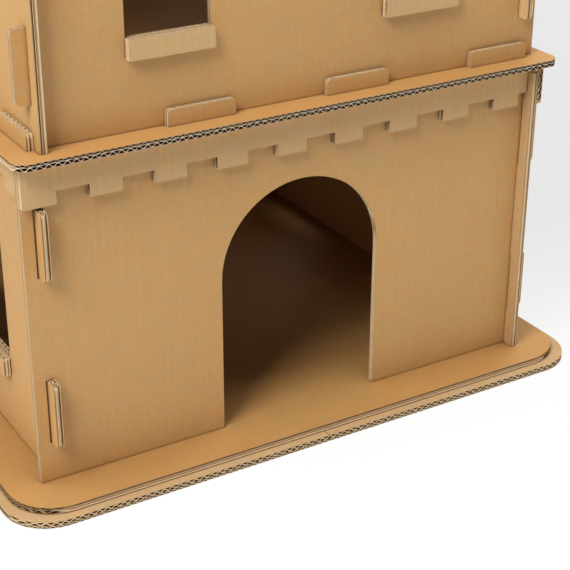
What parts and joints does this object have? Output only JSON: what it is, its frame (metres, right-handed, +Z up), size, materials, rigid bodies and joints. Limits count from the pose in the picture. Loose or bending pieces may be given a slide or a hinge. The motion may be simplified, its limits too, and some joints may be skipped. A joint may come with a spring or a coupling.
{
  "type": "cardboard castle",
  "caption": "Square play castle of slotted corrugated board, with an arched door, windows with folded sills, a battlement band, a deck and a stepped base.",
  "frame": {"origin": "middle of the underside of the base, on the surface that the castle stands on", "axes": "+Z up, -Y towards the front with the arched door, +X to the right seen from the front"},
  "size_m": [0.621, 0.621, 0.6426],
  "materials": {
    "base": "matt brown kraft paper on corrugated board",
    "floor": "matt brown kraft paper on corrugated board",
    "lower_wall": "matt brown kraft paper on corrugated board",
    "lid": "matt brown kraft paper on corrugated board",
    "deck": "matt brown kraft paper on corrugated board",
    "upper_wall": "matt brown kraft paper on corrugated board",
    "roof": "matt brown kraft paper on corrugated board"
  },
  "bodies": {
    "root": {"base_bottom_left": "base", "base_bottom_right": "base", "base_floor": "floor", "lower_wall_front": "lower_wall", "lower_wall_right": "lower_wall", "lower_wall_back": "lower_wall", "lower_wall_left": "lower_wall", "lower_lid": "lid", "deck": "deck", "upper_wall_front": "upper_wall", "upper_wall_right": "upper_wall", "upper_wall_back": "upper_wall", "upper_wall_left": "upper_wall", "roof": "roof"}
  },
  "joints": []
}
